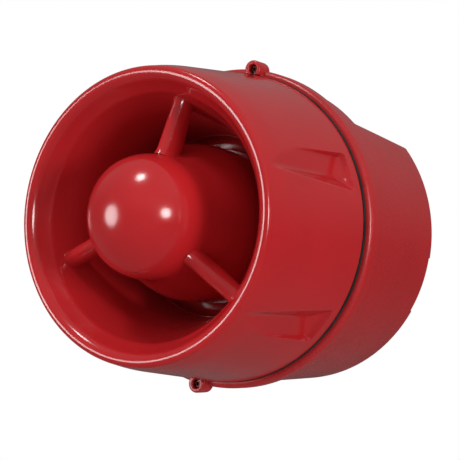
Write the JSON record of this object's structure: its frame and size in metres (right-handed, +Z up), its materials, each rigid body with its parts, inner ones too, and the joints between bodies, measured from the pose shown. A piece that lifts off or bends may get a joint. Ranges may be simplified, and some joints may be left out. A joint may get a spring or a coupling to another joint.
{
  "type": "alarm siren",
  "caption": "Round wall-mounted alarm horn siren: flared drum with a strutted centre bullet, mounting ring with two screw lugs, and a deep base with a conduit flat.",
  "frame": {"origin": "centre of the base's back face, on the wall", "axes": "+Y into the wall, -Y the way the horn looks, +Z up, +X to the right seen from the front"},
  "size_m": [0.164, 0.175, 0.1724],
  "materials": {
    "horn_red": "gloss moulded ABS",
    "bullet_red": "gloss moulded ABS",
    "ring_red": "gloss moulded ABS",
    "base_red": "gloss moulded ABS",
    "throat_dark": "dark red moulded ABS",
    "black_plastic": "satin",
    "rubber": "matt EPDM",
    "steel": "satin",
    "zinc": "bright zinc plate",
    "brass": "satin",
    "ferrite": "sintered ferrite",
    "copper": "enamelled copper",
    "board_green": "solder mask",
    "film": "polyimide film",
    "terminal_green": "moulded polyamide",
    "switch_blue": "moulded",
    "lever_white": "moulded",
    "capacitor_sleeve": "shrink sleeve",
    "lead_red": "wire insulation",
    "lead_black": "wire insulation"
  },
  "bodies": {
    "base": {"base_shell": "base_red", "brass_insert_top": "brass", "brass_insert_bottom": "brass", "cable_grommet": "rubber", "conduit_plug": "base_red", "terminal_board": "board_green", "terminal_block": "terminal_green", "base_socket": "black_plastic"},
    "head": {"horn_shell": "horn_red", "centre_bullet": "bullet_red", "throat_bowl": "throat_dark", "mounting_ring": "ring_red", "throat_seal": "rubber", "horn_gasket": "rubber", "base_gasket": "rubber", "horn_screw_1": "zinc", "horn_screw_2": "zinc", "horn_screw_3": "zinc", "horn_screw_4": "zinc", "strut_screw_1": "zinc", "strut_screw_2": "zinc", "strut_screw_3": "zinc", "driver_screw_1": "zinc", "driver_screw_2": "zinc", "driver_screw_3": "zinc", "driver_front_plate": "zinc", "driver_clamp_ring": "steel", "driver_top_plate": "steel", "driver_yoke": "steel", "inductor": "copper", "driver_magnet": "ferrite", "driver_housing": "black_plastic", "head_plug": "black_plastic", "driver_lead_positive": "lead_red", "driver_lead_negative": "lead_black", "head_board": "board_green", "board_pillar_1": "brass", "board_pillar_2": "brass", "board_pillar_3": "brass", "capacitor_1": "capacitor_sleeve", "capacitor_2": "capacitor_sleeve", "tone_switch_body": "switch_blue", "volume_trimmer_body": "switch_blue"},
    "diaphragm": {"driver_diaphragm": "film", "driver_voice_coil": "copper"},
    "top_seal": {"screw_seal_top": "rubber"},
    "top_screw": {"cover_screw_top": "steel"},
    "bottom_seal": {"screw_seal_bottom": "rubber"},
    "bottom_screw": {"cover_screw_bottom": "steel"},
    "volume_rotor": {"volume_trimmer_rotor": "lever_white"},
    "tone_lever_1": {"tone_switch_lever_1": "lever_white"},
    "tone_lever_2": {"tone_switch_lever_2": "lever_white"},
    "tone_lever_3": {"tone_switch_lever_3": "lever_white"},
    "tone_lever_4": {"tone_switch_lever_4": "lever_white"},
    "tone_lever_5": {"tone_switch_lever_5": "lever_white"},
    "terminal_screw_body_1": {"terminal_screw_1": "zinc"},
    "terminal_screw_body_2": {"terminal_screw_2": "zinc"},
    "terminal_screw_body_3": {"terminal_screw_3": "zinc"},
    "terminal_screw_body_4": {"terminal_screw_4": "zinc"}
  },
  "joints": [
    {"name": "head_lift", "type": "slide", "parent": "base", "child": "head", "axis": [0, -1, 0], "range_m": [0, 0.09]},
    {"name": "top_screw_travel", "type": "slide", "parent": "head", "child": "top_seal", "axis": [0, -1, 0], "range_m": [0, 0.006]},
    {"name": "top_screw_turn", "type": "hinge", "parent": "top_seal", "child": "top_screw", "pos_m": [0, -0.081, 0.0816], "axis": [0, -1, 0], "range_deg": [0, 4330]},
    {"name": "bottom_screw_travel", "type": "slide", "parent": "head", "child": "bottom_seal", "axis": [0, -1, 0], "range_m": [0, 0.006]},
    {"name": "bottom_screw_turn", "type": "hinge", "parent": "bottom_seal", "child": "bottom_screw", "pos_m": [0, -0.081, -0.0816], "axis": [0, -1, 0], "range_deg": [0, 4330]},
    {"name": "diaphragm_stroke", "type": "slide", "parent": "head", "child": "diaphragm", "axis": [0, -1, 0], "range_m": [-0.0003, 0.0003], "stiffness_N_per_m": 3000},
    {"name": "tone_lever_1_slide", "type": "slide", "parent": "head", "child": "tone_lever_1", "axis": [0, 0, 1], "range_m": [0, 0.0015]},
    {"name": "tone_lever_2_slide", "type": "slide", "parent": "head", "child": "tone_lever_2", "axis": [0, 0, 1], "range_m": [0, 0.0015]},
    {"name": "tone_lever_3_slide", "type": "slide", "parent": "head", "child": "tone_lever_3", "axis": [0, 0, 1], "range_m": [0, 0.0015]},
    {"name": "tone_lever_4_slide", "type": "slide", "parent": "head", "child": "tone_lever_4", "axis": [0, 0, 1], "range_m": [0, 0.0015]},
    {"name": "tone_lever_5_slide", "type": "slide", "parent": "head", "child": "tone_lever_5", "axis": [0, 0, 1], "range_m": [0, 0.0015]},
    {"name": "volume_turn", "type": "hinge", "parent": "head", "child": "volume_rotor", "pos_m": [-0.03, -0.029, 0.018], "axis": [0, 1, 0], "range_deg": [0, 270]},
    {"name": "terminal_screw_1_travel", "type": "slide", "parent": "base", "child": "terminal_screw_body_1", "axis": [0, -1, 0], "range_m": [0, 0.0018]},
    {"name": "terminal_screw_2_travel", "type": "slide", "parent": "base", "child": "terminal_screw_body_2", "axis": [0, -1, 0], "range_m": [0, 0.0018]},
    {"name": "terminal_screw_3_travel", "type": "slide", "parent": "base", "child": "terminal_screw_body_3", "axis": [0, -1, 0], "range_m": [0, 0.0018]},
    {"name": "terminal_screw_4_travel", "type": "slide", "parent": "base", "child": "terminal_screw_body_4", "axis": [0, -1, 0], "range_m": [0, 0.0018]}
  ],
  "couplings": [
    {"joint": "top_screw_turn", "follows": "top_screw_travel", "rad_per_m": 12566},
    {"joint": "bottom_screw_turn", "follows": "bottom_screw_travel", "rad_per_m": 12566}
  ]
}
